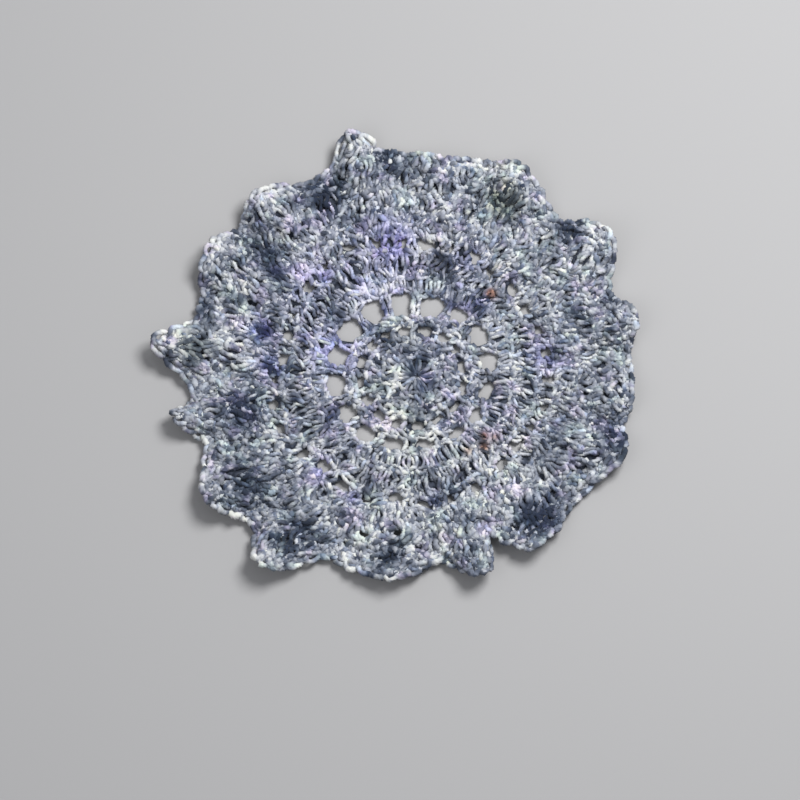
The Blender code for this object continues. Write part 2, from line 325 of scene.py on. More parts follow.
def fullness(reach):
    """How full the yarn lies, where 1 is its usual thickness."""
    return np.interp(reach, (24.0, 32.0, 65.0, 85.0), (1.12, 1.05, 1.05, 1.22))


def post_bends(posts, bends):
    """The yarn's way through each post: an array of posts, bends and (x, y, z, size, rise)."""
    base_turn, base_reach, top_turn, top_reach, *others = np.array(posts).T[:, :, None]
    base_spread, top_spread, size, bow, hump = others
    share, side, rise = np.array(bends).T[:, None, :]
    on_post = np.clip(share, 0, 1)
    turn = between(base_turn, top_turn, share)
    reach = np.maximum(between(base_reach, top_reach, share), 0.3)
    full = fullness(reach)
    spread = between(base_spread, top_spread, on_post) * YARN * full
    size = between(size, 1.0, on_post) * full
    swell = np.sin(np.pi * on_post)
    turn, reach = settle(turn + turn_for(bow * swell, reach), reach)
    base = cloth_point(*settle(base_turn, base_reach))
    top = cloth_point(*settle(top_turn, top_reach))
    normal = cloth_normal(turn, reach)
    sideways = unit(np.cross(normal, unit(top - base)))
    rise = rise * YARN * size
    lifted = rise + hump * swell
    points = cloth_point(turn, reach) + sideways * (side * spread)[..., None] + normal * lifted[..., None]
    return np.concatenate([points, size[..., None], rise[..., None]], axis=-1)


def link_bends(links, loops):
    """The yarn's way through each chain link, as for the posts."""
    turn, reach, end_turn, end_reach, size, sink = np.array(links).T
    start = cloth_point(*settle(turn, reach))[:, None]
    end = cloth_point(*settle(end_turn, end_reach))[:, None]
    normal = cloth_normal(*settle((turn + end_turn) / 2, (reach + end_reach) / 2))[:, None]
    along, out, rise = np.array(loops).T[:, None, :, None]
    size = (size * fullness(reach))[:, None, None]
    rise = (rise - sink[:, None, None]) * YARN * size
    outward = unit(np.cross(end - start, normal))
    points = start + (end - start) * along + outward * out * YARN * size + normal * rise
    return np.concatenate([points, size + 0 * rise, rise], axis=-1)


LINK_SIZE = 1.18  # thickness of the yarn in a chain link
LINK_SINK = 0.05  # a link between two stitches lies this many yarn diameters lower than its tops
CHAIN_SINK = 0.40  # and a chain over a gap so many, under the stitches worked round it


def worked(posts, links_after=(1,), bulges=(0.0,)):
    """A round: its posts in order, and after each the chain to the next one's top, of one link or more.

    A chain of more links than one lies over a gap, bowed outward by its bulge.
    """
    elements = []
    for index, (this, links, bulge) in enumerate(zip(posts, cycle(links_after), cycle(bulges))):
        following = posts[(index + 1) % len(posts)]
        end_turn = following.top_turn + REPEATS * (index + 1 == len(posts))
        steps = np.linspace(0, 1, links + 1)
        turns = between(this.top_turn, end_turn, steps)
        bow = bulge * (1 - np.abs(2 * steps - 1) ** 3)
        reaches = between(this.top_reach, following.top_reach, steps) + bow
        sink = CHAIN_SINK if links > 1 else LINK_SINK
        elements.append(this)
        elements += [Chain(*ends, LINK_SIZE, sink) for ends in zip(turns, reaches, turns[1:], reaches[1:])]
    return elements


# How far off a post's ends and bow are, and its spread as a share.
LOOSE_INSIDE = 0.55
LOOSE = 0.75
LOOSE_FROM = 40
LOOSE_FULL = 60
SPREAD_VARIES = 0.15


def shaken(posts, draw):
    """The posts with their ends a little off."""
    moved = []
    for this in posts:
        base, top, length, wide, bow = draw.normal(0, 1, 5)
        loose = between(LOOSE_INSIDE, LOOSE, smooth(this.reach, LOOSE_FROM, LOOSE_FULL))
        changes = {
            "turn": this.turn + turn_for(base * loose, this.reach),
            "top_turn": this.top_turn + turn_for(top * loose, this.top_reach),
            "top_reach": this.top_reach + length * loose,
            "top_spread": this.top_spread * (1 + SPREAD_VARIES * wide),
            "bow": this.bow + bow * loose,
        }
        moved.append(this._replace(**changes))
    return moved


WAYS = {
    Post: (post_bends, TALL),
    Spoke: (post_bends, SPOKE),
    Low: (post_bends, SHORT),
    Chain: (link_bends, LINK),
    Bead: (link_bends, BEAD),
}


def route(elements, draw, wander):
    """All bends of a round in order, a little uneven."""
    rows = {}
    for kind, (work, way) in WAYS.items():
        some = [element for element in elements if type(element) is kind]
        if kind in (Post, Low):
            some = shaken(some, draw)
        rows[kind] = iter(work(some, way) if some else ())
    bends = np.concatenate([next(rows[type(element)]) for element in elements])
    off = draw.normal(0, wander, (len(bends), 3)) * bends[:, 3:4]
    bends[:, :3] += off
    bends[:, 4] += off[:, 2]
    return bends


def curve_through(bends, steps=7):
    """A closed smooth curve through the bends, as many points with the size at each."""
    before = np.roll(bends, 1, axis=0)
    after = np.roll(bends, -1, axis=0)
    later = np.roll(bends, -2, axis=0)
    t = (np.arange(steps) / steps)[:, None, None]
    curve = 0.5 * (
        2 * bends
        + (after - before) * t
        + (2 * before - 5 * bends + 4 * after - later) * t**2
        + (3 * bends - before - 3 * after + later) * t**3
    )
    return curve.transpose(1, 0, 2).reshape(-1, bends.shape[1])


def evenly(curve, step):
    """The closed curve resampled at even steps along its length, and its length."""
    closed = np.vstack([curve, curve[:1]])
    lengths = np.linalg.norm(np.diff(closed[:, :3], axis=0), axis=1)
    reached = np.concatenate([[0.0], np.cumsum(lengths)])
    count = round(reached[-1] / step)
    wanted = np.arange(count) * reached[-1] / count
    return np.stack([np.interp(wanted, reached, values) for values in closed.T], axis=1), reached[-1]


def carried_sides(tangents):
    """Side vectors that turn no more than the path does."""
    sides = np.empty_like(tangents)
    side = np.cross(tangents[0], (0.0, 0.0, 1.0))
    for index, tangent in enumerate(tangents):
        side = side - (side @ tangent) * tangent
        side /= math.sqrt(side @ side)
        sides[index] = side
    return sides


def slubs(length, rings, draw):
    """How thick the yarn is at each ring, where 1 is its usual thickness."""
    count = max(4, round(length / SLUB_LENGTH))
    places = np.arange(rings) * count / rings
    return 1 + SLUB * np.interp(places, np.arange(count), draw.normal(0, 1, count), period=count)


BESIDE_PAINTED_LIGHT = 0.5  # painted light: a gap's side counts as this much less deep in the cloth, so its painted shade is lighter
BESIDE_FROM = 1.3  # distance from a gap's side at which that starts to fade
BESIDE_TO = 2.3


def painted_light_beside_gaps(points):
    """Painted light: how much the painted shade is lifted at points beside the gaps, as if light came through
    them.
    """
    light = np.zeros(len(points))
    for gap in openings():
        x, y = place(gap.turn, gap.reach)
        away = np.hypot(points[:, 0] - x, points[:, 1] - y) - (gap.width + gap.depth) / 4
        light = np.maximum(light, BESIDE_PAINTED_LIGHT * (1 - smooth(away, BESIDE_FROM, BESIDE_TO)))
    return light


def face_corners(rings):
    """The ring of each corner's face, and the corner's own ring and side, which run on past the last."""
    face_ring = np.arange(rings)[:, None, None]
    side = np.arange(SIDES)[:, None]
    return np.broadcast_arrays(face_ring, face_ring + (0, 1, 1, 0), side + (0, 0, 1, 1))


def yarn_mesh(name, bends, start, draw):
    """A closed length of two-ply yarn through the bends. start is the length of yarn used before it."""
    centres, length = evenly(curve_through(bends), RING_STEP)
    rings = len(centres)
    points = centres[:, :3]
    thick = centres[:, 3:4] * slubs(length, rings, draw)[:, None]
    points[:, 2] = np.maximum(points[:, 2], YARN / 2 * (1 + GROOVE) * thick[:, 0])
    tangents = unit(np.roll(points, -1, axis=0) - np.roll(points, 1, axis=0))
    sides = carried_sides(tangents)
    others = np.cross(tangents, sides)
    gap = math.atan2(sides[-1] @ others[0], sides[-1] @ sides[0])
    twists = round(length / PLY_PITCH)
    spin = (2 * np.pi * twists - gap) * np.arange(rings) / rings
    around = 2 * np.pi * np.arange(SIDES) / SIDES
    angle = spin[:, None] + around
    radius = YARN / 2 * (1 + GROOVE * np.cos(2 * around)) * thick
    ring = np.cos(angle)[..., None] * sides[:, None] + np.sin(angle)[..., None] * others[:, None]
    vertices = (points[:, None] + ring * radius[..., None]).reshape(-1, 3)
    # Painted shade: yarn low in the cloth and the sides of each strand get a darker colour, where real yarn
    # would lie in shade.
    height = (centres[:, 4:5] + SIDE_SHADE * ring[..., 2] * radius).reshape(-1) / YARN
    shown = np.maximum(height, -height - UNDERSIDE_SHADE) + painted_light_beside_gaps(vertices)
    _, ring_at, side_at = face_corners(rings)
    quads = ring_at % rings * SIDES + side_at % SIDES
    along = start + ring_at * length / rings
    mesh = bpy.data.meshes.new(name)
    mesh.from_pydata((vertices * MM).tolist(), [], quads.reshape(-1, 4).tolist())
    mesh.shade_smooth()
    for layer, uv in (("yarn", (along * MM, side_at / SIDES)), ("OFBake", strip_atlas(rings))):
        mesh.uv_layers.new(name=layer).data.foreach_set("uv", np.stack(uv, axis=-1).ravel())
    mesh.attributes.new("shown", "FLOAT", "POINT").data.foreach_set("value", shown)
    tints = dye_and_shade_at(vertices)
    mesh.attributes.new("dye", "FLOAT_VECTOR", "POINT").data.foreach_set("vector", tints.ravel())
    return mesh, length


# Patches of tint: middle, size, and how strong each tint is there. The dark tint is partly darker dye and
# partly painted shade in the troughs and hollows of the folds. Less than no lilac is a cast of olive.
Patch = namedtuple("Patch", "x y size dark lilac rust", defaults=(0.0, 0.0))
PATCHES = Table(
    Patch,
    (-12, 28, 48, 0, 0.22), (-4, 62, 11, -0.1, 0.9), (-32, 3, 12, 0, 0.9), (-48, 32, 10, 0.2, 0.3),
    (75, 1, 8, 0.5, 1), (36, 53, 8, 0, 0.5), (40, -20, 12, 0, 0.3), (47, 34, 2.6, 0, 0, 1.7),
    (43, -40, 2.2, 0.3, 0, 1.1), (43, -45.5, 2.4, 0.2, 0, 1.3), (48.5, -41, 2, 0.3, 0, 0.8),
    (35, -48, 2.4, 0.4, -0.5, 0.6), (-8.9, 26.4, 3, 1.6, 0.2), (8.7, 29, 3, -1.3), (-35, 85, 9, 1.8),
    (-4, 106, 8, 1.6), (-63, 51, 7, 1.2, 0.1), (-77, 61, 6, 0.9), (-91, 39, 6, 0.7), (87, 67, 6, 1.9, 0.2),
    (53, 82, 8, 1.2, -1.6, 0.08), (26, 48, 7, 1, 0, 0.1), (40, 29, 6, 1, 0.3), (107, 31, 5, 1),
    (88, 24, 6, 1.2), (15, 15, 5, 1), (7.4, -7, 2.2, 1.6), (9, -1, 5, 1.1, 0.1), (15, -14, 5, 1.1, 0.2),
    (0, -8, 5, -0.3, -0.1), (-8, -12, 10, -0.2, -0.3), (8, -30, 14, -0.1, -0.35), (3, 14, 9, 0, -0.35),
    (45, -15, 6, 1.2, -0.4, 0.12), (-64, -3, 6, 1.5, 1), (-70, 14, 6, 0.8, 0.8), (-78, -27, 10, 1.6, 0.2),
    (-35, -33, 7, 0.4), (-75, -66, 10, 1.2), (-51, -91, 9, 1.9, 0.1), (26, -69, 7, 1.2, 0.1),
    (76, -44, 7, 0.7), (69, -82, 9, 1.9, 0.2), (111, -41, 8, 1.8, 0.2), (-4, -103, 6, 1.5),
    (34, -102, 6, 0.7), (-102, 4, 9, 0.9, -0.7, 0.06), (-22, 115, 8, -0.9), (-69, 88, 8, -0.8),
    (-92, 58, 7, -0.8), (-115, 11, 6, -0.8), (-46, 47, 8, -0.8, 0.2), (-14, 42, 10, -0.7, 0.2),
    (14, 64, 8, -0.7), (63, 61, 8, -0.7), (90, 45, 8, -0.7), (77, -8, 5, -1), (-37, -53, 6, -1, 0.2),
    (-16, -39, 7, -0.8), (10, -44, 6, -0.8), (-10, -89, 8, -0.9), (55, 97, 7, -0.9), (101, 66, 7, -0.8),
    (103, -11, 8, -0.5), (50, -55, 10, -0.5),
)

# More of them, laid out by their turn and reach.
Spot = namedtuple("Spot", "turn reach size dark lilac rust", defaults=(0.0, 0.0))
SPOTS = Table(
    Spot,
    (7.9, 69, 4, 1.4, 0.7), (7, 40, 3, 0.9, 0.8), (6.1, 34, 3, 1.2, 0.4), (5.18, 35, 3, 1, 0.8),
    (5.53, 27.5, 2.5, 1.6), (4.68, 30, 2.5, 1), (3.47, 25, 4, 1.6, 0, 0.1), (2.92, 40, 3, 0.7, 0.7),
    (2.56, 31, 3, 1, 0.2), (6.5, 47, 5, 0.8), (5.43, 54.5, 4, 0.8, 0.5), (4.35, 67, 6, 0.3, 0.9),
    (5.84, 68, 5, 0.3, 0.9), (3.57, 62, 4, 1.1, 0, 0.3), (2.26, 51, 5, 1.1, 0.5), (13.45, 30, 4, 0.8, 0.5),
    (12.64, 27, 4, 1.4), (12.3, 37, 3, 1.2), (10.5, 48.5, 5, 0.9, 0.1), (9.3, 46, 4, 1.2, 0.6),
    (10, 30, 3, 1), (10.2, 70, 6, 0.2, 0.8), (12.3, 69, 4, 1, 0.5), (7.07, 115, 5, 1.4, 0.1),
    (7.25, 79, 4, 1.2, 0.9), (6.3, 85, 4, 1, 0.4), (6.05, 98, 6, 1), (4.95, 105, 6, 1.4, 0.2),
    (13.7, 106, 8, 1.2, 0.2), (12.75, 86.5, 4, 1.2), (10.55, 106, 6, 1.5), (11.53, 103, 3, 1.4),
    (11, 73, 4, 0.4, 0.9), (7.45, 47.5, 5, -0.8, 0.1), (5.5, 47, 5, -0.9, 0.1), (4.5, 47, 5, -0.9, 0.1),
    (5.2, 29, 4, -1.2), (7.7, 80, 5, -1.4), (7.15, 91, 4, -1.2), (6.6, 93, 6, -0.9), (7, 107.5, 3, -1.6),
    (6.2, 107.5, 4, -1.2), (5.8, 94, 4, -1.1), (13, 33, 4, -1.2), (11.2, 24, 4, -1), (13.7, 86, 5, -1),
    (12.1, 107, 5, -1.2), (11.1, 115, 4, -1.2), (10.3, 103, 5, -1.2), (11.26, 92, 4, -1.2),
)

# How dark the yarn is all round, by the distance from the middle.
RING_AT = (0, 10, 19, 26, 36, 60, 67, 76, 90, 110, 118)
RING_DARK = (0.35, 0.2, 0.3, -0.1, -0.1, 0.1, -0.1, 0.05, 0.15, 0.2, -0.1)


def dye_and_shade_at(points):
    """The tints of the patches and rings at points: lilac, dark and rust. The dark is partly darker dye and
    partly painted shade.
    """
    tints = np.zeros((len(points), 3))
    away = np.hypot(points[:, 0] - CENTRE[0], points[:, 1] - CENTRE[1])
    tints[:, 1] = np.interp(away, RING_AT, RING_DARK)
    spots = [Patch(*place(spot.turn, spot.reach), *spot[2:]) for spot in SPOTS]
    for patch in PATCHES + spots:
        off = np.hypot(points[:, 0] - patch.x, points[:, 1] - patch.y) / patch.size
        tints += np.exp(-(off**2))[:, None] * (patch.lilac, patch.dark, patch.rust)
    return tints


def strip_atlas(rings):
    """A flat map of a yarn's faces, its length cut into columns side by side."""
    cell = SIDES + 1
    columns = max(1, round(math.sqrt(rings / cell)))
    rows = math.ceil(rings / columns)
    face_ring, ring_at, side_at = face_corners(rings)
    u = (face_ring // rows * cell + side_at + 0.5) / (columns * cell)
    return u, (face_ring % rows + ring_at - face_ring) / rows


# --- The rounds of the pattern ---


def spaced(count, start=0.0, end=REPEATS):
    """Turns of posts spread evenly from one turn to another."""
    return between(start, end, (np.arange(count) + 0.5) / count)


def level(reach):
    return lambda turn: reach


def straight(turns, base, top, base_spread=0.9, top_spread=1.0, kind=Low):
    """Posts at these turns. base and top give the reach of their ends at a turn."""
    return [kind(turn, base(turn), turn, top(turn), base_spread, top_spread) for turn in turns]


INNER = -1  # sides of an opening
OUTER = 1
WINDOW_PINCH = 0.8  # how much nearer to the windows' middle their sides are between two of them


def window_side(turn, side):
    """Reach of the windows' inner or outer side at a turn."""
    off_middle = smooth(np.abs(turn - np.floor(turn) - 0.5) * 2)
    index = np.floor(turn).astype(int) % REPEATS
    half = WINDOWS.depth[index] / 2 - WINDOW_PINCH * off_middle**2
    return WINDOWS.reach[index] + side * half


def eye_side(turn, side):
    """Reach of the small openings' inner or outer side at a turn."""
    sides = WINDOWS.eye_reach + side * EYE_DEPTH * WINDOWS.eye_width / 2
    return np.interp(turn, np.arange(REPEATS) + 0.5, sides, period=REPEATS)


def gap_reach(turn):
    """Reach of the ring of gaps between the fans at a turn."""
    return np.interp(turn, FAN_GAPS.turn, FAN_GAPS.reach, period=REPEATS)


SPOKES = 12
STAR_FROM = 1.6  # reach of the star's hole
STAR_TO = 11.0
STAR_TOP = 11.4  # reach of the first round's top loops
STAR_SEED = 11


def round_eye():
    """The star in the middle, its long stitches a little askew."""
    draw = np.random.default_rng(STAR_SEED)
    posts = []
    for turn in spaced(SPOKES):
        aside, out, wide, bow = draw.uniform(-1, 1, 4)
        turn = turn + 0.25 * aside
        start = STAR_FROM + 0.5 * out
        end = STAR_TO + 0.8 * out
        posts.append(Spoke(turn, start, turn, end, 0.28, 1.2 + 0.25 * wide, 0.80, 0.8 * bow))
    return worked(posts)


def before_eyes(turn):
    return eye_side(turn, INNER) - 2.1


def second_top(turn):
    return between(STAR_TOP, before_eyes(turn), 0.5)


def round_small_gaps():
    """A post at each end of a repeat, with a chain over the small opening between them."""
    posts = straight(range(REPEATS), before_eyes, lambda turn: eye_side(turn, OUTER) + 1.4, 1.1, 1.1, Post)
    return worked(posts, (3,), (0.9,))


INNER_RIM = 33.4  # most reach of the stitches inside the windows


def round_inner_rim():
    def top(turn):
        return np.minimum(window_side(turn, INNER) - 2.0, INNER_RIM)

    return worked(straight(spaced(48), lambda turn: eye_side(turn, OUTER) + 1.9, top))


ROOM_FOR_TWO = 4.1  # least room between two windows for a pair of posts
WINDOW_LINKS = 4


def round_windows():
    """One or two posts between each two windows, with chains over them."""
    pitch = 2 * math.pi * WINDOW_ROUND / REPEATS
    posts = []
    links = []
    bulges = []
    for index, window in enumerate(WINDOWS):
        spare = pitch - (WINDOWS[index - 1].width + window.width) / 2
        both_sides = np.array((index - 0.01, index + 0.01))
        start = window_side(both_sides, INNER).mean() - 1.2
        end = window_side(both_sides, OUTER).mean() + 0.6
        if spare < ROOM_FOR_TWO:
            offsets, spread, size = (0.0,), 0.95, 1.1
        else:
            apart = spare / pitch / 4
            offsets, spread, size = (-apart, apart), 0.42, 1.0
        posts += [Post(index + off, start, index + off, end, spread, spread, size) for off in offsets]
        links += [1] * (len(offsets) - 1) + [WINDOW_LINKS]
        bulges += [window.reach + window.depth / 2 + 1.9 - end] * len(offsets)
    return worked(posts, links, bulges)


OUTER_RIM = 50.8  # reach of the top of the stitches outside the windows
OUTER_RIM_POSTS = 88


def round_outer_rim():
    def base(turn):
        return window_side(turn, OUTER) + 1.6

    posts = straight(spaced(OUTER_RIM_POSTS), base, level(OUTER_RIM), 0.8, 0.8, Spoke)
    return worked(shaken(posts, np.random.default_rng(OUTER_RIM_POSTS)))


FLAT_EDGE_FROM = 50.6
FLAT_EDGE_SEED = 92


def round_flat_edge():
    """A bowed group of five posts in each repeat, and four straight posts between two groups."""
    posts = []
    draw = np.random.default_rng(FLAT_EDGE_SEED)
    for index in range(REPEATS):
        middle = index + 0.5 + draw.uniform(-0.06, 0.06)
        puffed = draw.uniform(0.8, 1.25)
        for step in (-2, -1, 0, 1, 2):
            turn = middle + step * 0.05
            top = middle + step * 0.062
            bow = step * 2.0 * puffed
            posts.append(Post(turn, FLAT_EDGE_FROM, top, gap_reach(top) - 5.4, 0.8, 0.8, 1.0, bow, puffed))
        turns = between(middle, index + 1.5, np.array((0.30, 0.43, 0.57, 0.70)))
        posts += straight(turns, level(FLAT_EDGE_FROM), lambda turn: gap_reach(turn) - 5.6, 0.9, 0.9, Post)
    return worked(posts)


POST_PITCH = 3.1  # room that each post between two of the gaps fills
WIDE_GAP = 5  # a gap wider than this has a longer chain over it and a fuller fan


def round_fan_gaps():
    """Groups of posts between the gaps, and chains over them."""
    posts = []
    links = []
    for index, gap in enumerate(FAN_GAPS):
        after = FAN_GAPS[(index + 1) % len(FAN_GAPS)]
        start = gap.turn + turn_for(gap.width / 2, gap.reach)
        end = after.turn + REPEATS * (after.turn < gap.turn) - turn_for(after.width / 2, after.reach)
        turns = spaced(max(1, round((end - start) / turn_for(POST_PITCH, 68.0))), start, end)
        for turn in turns:
            posts.append(Post(turn, gap_reach(turn) - 5.8, turn, gap_reach(turn) + 4.4, 0.85, 0.85))
        links += [1] * (len(turns) - 1) + [3 if after.width > WIDE_GAP else 2]
    return worked(posts, links, (0.5,))


NARROW_VARIES = 0.16
ANCHOR_VARIES = 0.045
FAN_HUMP = 0.9  # how far the middle of a fan stands up
LOW_PITCH = 3.0  # room that each single crochet between two fans fills
LOW_SHARE = 0.66  # of a fan's depth, which a single crochet reaches


def shells(anchors, counts, base, top, narrow):
    """Fans, at each anchor as many posts as its count, with single crochets between each two.

    narrow is how far the foot of each post lies from the fan's anchor to its own top.
    """
    total = len(anchors)
    counts = np.array(counts)
    draw = np.random.default_rng(total * counts.sum())
    anchors = np.array(anchors) + draw.uniform(-ANCHOR_VARIES, ANCHOR_VARIES, total)
    gathered = narrow + draw.uniform(-NARROW_VARIES, NARROW_VARIES, total)
    after = np.append(anchors[1:], anchors[0] + REPEATS)
    ends = between(anchors, after, counts / (counts + np.roll(counts, -1)))
    starts = np.append(ends[-1] - REPEATS, ends[:-1])
    posts = []
    for index, count in enumerate(counts):
        for step in range(count):
            top_turn = between(starts[index], ends[index], (step + 0.7) / (count + 0.4))
            turn = between(anchors[index], top_turn, gathered[index])
            puffed = FAN_HUMP * (1 - abs(2 * (step + 0.5) / count - 1) ** 2)
            posts.append(Post(turn, base(turn), top_turn, top(top_turn), 0.8, 1.0, hump=puffed))
        first = between(anchors[index], ends[index], gathered[index])
        last = between(after[index], ends[index], gathered[(index + 1) % total])
        lows = max(1, round((last - first) / turn_for(LOW_PITCH, base(first))))
        for turn in spaced(lows, first, last):
            reach = between(base(turn), top(turn), LOW_SHARE)
            posts.append(Low(turn, base(turn) + 1.0, turn, reach, 1.0, 1.0))
    return posts


def fan_top(reach, start):
    """Tops of fans at about this reach, which stand out further twice in each repeat, first at the start."""
    return lambda turn: reach(turn) + 1.3 * np.cos(4 * np.pi * (turn - start))


first_fan_top = fan_top(lambda turn: between(83.6, gap_reach(turn) + 15.6, 0.4), -0.05)
second_fan_top = fan_top(level(95.6), 0.2)
third_fan_top = fan_top(level(106.4), 0.45)


def round_first_fans():
    anchors = [gap.turn for gap in FAN_GAPS]
    counts = [7 if gap.width > WIDE_GAP else 5 for gap in FAN_GAPS]
    return worked(shells(anchors, counts, lambda turn: gap_reach(turn) + 3.6, first_fan_top, 0.42))


def fan_round(sides, counts, base, top):
    """A round with two fans in each repeat, which start just under the tops of the round before."""
    anchors = [index + side for index in range(REPEATS) for side in sides]
    return worked(shells(anchors, counts * REPEATS, lambda turn: base(turn) - 0.6, top, 0.54))


SCALLOP_TOP = 113.8
EDGE_FROM = 112.6
EDGE_TO = 116.0
HORN = 3.5  # how much further the edge reaches on the crest of a narrow fold
HORN_NARROW = 1.9  # a fold is narrow from here
BEADS = 150


def edge_top(turn):
    _, _, swell, here = fold_at(turn)
    return EDGE_TO + HORN * swell**2 * (FOLDS.narrow[here] > HORN_NARROW)


def round_edge():
    """Short stitches with a bead between each two."""
    elements = worked(straight(spaced(BEADS), level(EDGE_FROM), edge_top, 1.0, 1.15))
    return [Bead(*this[:4], BEAD_SIZE, 0.0) if type(this) is Chain else this for this in elements]


# The rounds in order, with how far the yarn wanders from its way.
Round = namedtuple("Round", "name elements wander")
ROUNDS = Table(
    Round,
    ("round_01_eye", round_eye, 0.25),
    ("round_02", lambda: worked(straight(spaced(24), level(STAR_TOP), second_top)), 0.5),
    ("round_03", lambda: worked(straight(spaced(32), lambda turn: second_top(turn) - 0.2, before_eyes)), 0.5),
    ("round_04_small_gaps", round_small_gaps, 0.5),
    ("round_05_inner_rim", round_inner_rim, 0.6),
    ("round_06_windows", round_windows, 0.45),
    ("round_07_outer_rim", round_outer_rim, 0.5),
    ("round_08_flat_edge", round_flat_edge, 0.5),
    ("round_09_fan_gaps", round_fan_gaps, 0.4),
    ("round_10_fans", round_first_fans, 0.4),
    ("round_11_fans", lambda: fan_round((0.2, 0.7), (5, 6), first_fan_top, second_fan_top), 0.4),
    ("round_12_fans", lambda: fan_round((0.0, 0.45), (6, 6), second_fan_top, third_fan_top), 0.4),
    ("round_13_scallops", lambda: fan_round((0.2, 0.7), (6, 7), third_fan_top, level(SCALLOP_TOP)), 0.4),
    ("round_14_edge", round_edge, 0.3),
)


# --- The ground sheet under the stitches ---

GROUND_THICK = 0.3
GROUND_SINK = 0.1  # the ground lies this far under the middle of the stitches
GROUND_RIM = 115.6
GROUND_ROWS = (6, 12, 18, 22, 31, 46, 52, 57, 62, 73, 78, 83, 88, 93, 98, 103, 108, 113)
GROUND_STEP = 4.0  # between the ground's points along a row
RIM_POINTS = 12  # in each repeat
OPENING_CORNERS = 16
OPENING_ROOM = 1.0  # the ground stays this far behind the stitches round an opening
ROW_ROOM = 2.4  # and its rows of points this far


def openings():
    """Every gap that is cut through."""
    found = []
    for index, this in enumerate(WINDOWS):
        turn = index + 0.5
        found.append(Gap(turn, this.eye_reach, this.eye_width, this.eye_width * EYE_DEPTH))
        found.append(Gap(turn, this.reach, this.width, this.depth, this.flare, WINDOW_ROUNDNESS))
    return found + FAN_GAPS + OUTER_GAPS


def opening_outline(gap):
    angle = 2 * np.pi * (np.arange(OPENING_CORNERS) + 0.5) / OPENING_CORNERS
    circle = np.array((np.sin(angle), np.cos(angle)))
    out, side = np.copysign(np.abs(circle) ** gap.roundness, circle)
    along = side * (1 + gap.flare * out) * (gap.width / 2 + OPENING_ROOM)
    across = out * (gap.depth / 2 + OPENING_ROOM)
    return np.stack([gap.turn + turn_for(along, gap.reach), gap.reach + across], axis=1)


def ring_of(count, reach, shift=0.0):
    """Points of the cloth spread evenly along a round."""
    return np.stack([(np.arange(count) + shift) * REPEATS / count, np.full(count, reach)], axis=1)


def ground_mesh():
    """A thin closed sheet on the cloth's folds, with the openings cut out, and the area of one side."""
    gaps = openings()
    inner = np.zeros((1, 2))
    for number, reach in enumerate(GROUND_ROWS):
        count = max(8, round(2 * np.pi * reach / GROUND_STEP))
        inner = np.concatenate([inner, ring_of(count, reach, 0.5 * (number % 2))])
    for gap in gaps:
        along = turn_from(gap, inner[:, 0]) * gap.reach * 2 * np.pi / REPEATS
        across = inner[:, 1] - gap.reach
        inner = inner[np.hypot(along / (gap.width / 2 + ROW_ROOM), across / (gap.depth / 2 + ROW_ROOM)) > 1]
    edges = []
    loop_of = []
    loops = [ring_of(REPEATS * RIM_POINTS, GROUND_RIM)] + [opening_outline(gap) for gap in gaps]
    for number, loop in enumerate(loops):
        first = len(loop_of)
        edges += [(first + step, first + (step + 1) % len(loop)) for step in range(len(loop))]
        loop_of += [number] * len(loop)
    loop_of = np.array(loop_of + [-1] * len(inner))
    turn, reach = np.concatenate(loops + [inner]).T
    flat = [Vector(pair) for pair in zip(*place(turn, reach))]
    _, _, triangles, origins, _, _ = delaunay_2d_cdt(flat, edges, [], 0, 1e-6)
    kept = np.array([[origins[corner][0] for corner in triangle] for triangle in triangles])

    # A triangle between three points of one loop lies in a gap, or outside the rim.
    loops_at = loop_of[kept]
    kept = kept[(loops_at[:, 0] < 0) | (loops_at != loops_at[:, :1]).any(axis=1)]
    normal = cloth_normal(turn, reach)
    middle = cloth_point(turn, reach) - normal * GROUND_SINK
    count = len(middle)
    vertices = np.concatenate([middle - normal * GROUND_THICK / 2, middle + normal * GROUND_THICK / 2])
    faces = [(a + count, b + count, c + count) for a, b, c in kept] + [(c, b, a) for a, b, c in kept]
    sides = {(a, b) for corners in kept.tolist() for a, b in zip(corners, corners[1:] + corners[:1])}
    faces += [(a, b, b + count, a + count) for a, b in sorted(sides) if (b, a) not in sides]
    mesh = bpy.data.meshes.new("ground")
    mesh.from_pydata((vertices * MM).tolist(), [], faces)
    mesh.validate()
    mesh.shade_smooth()
    under = mesh.attributes.new("under", "FLOAT", "POINT")
    under.data.foreach_set("value", np.repeat((1.0, 0.0), count))
    a, b, c = vertices[kept].transpose(1, 0, 2)
    return mesh, np.linalg.norm(np.cross(b - a, c - a), axis=1).sum() / 2


# --- Materials ---


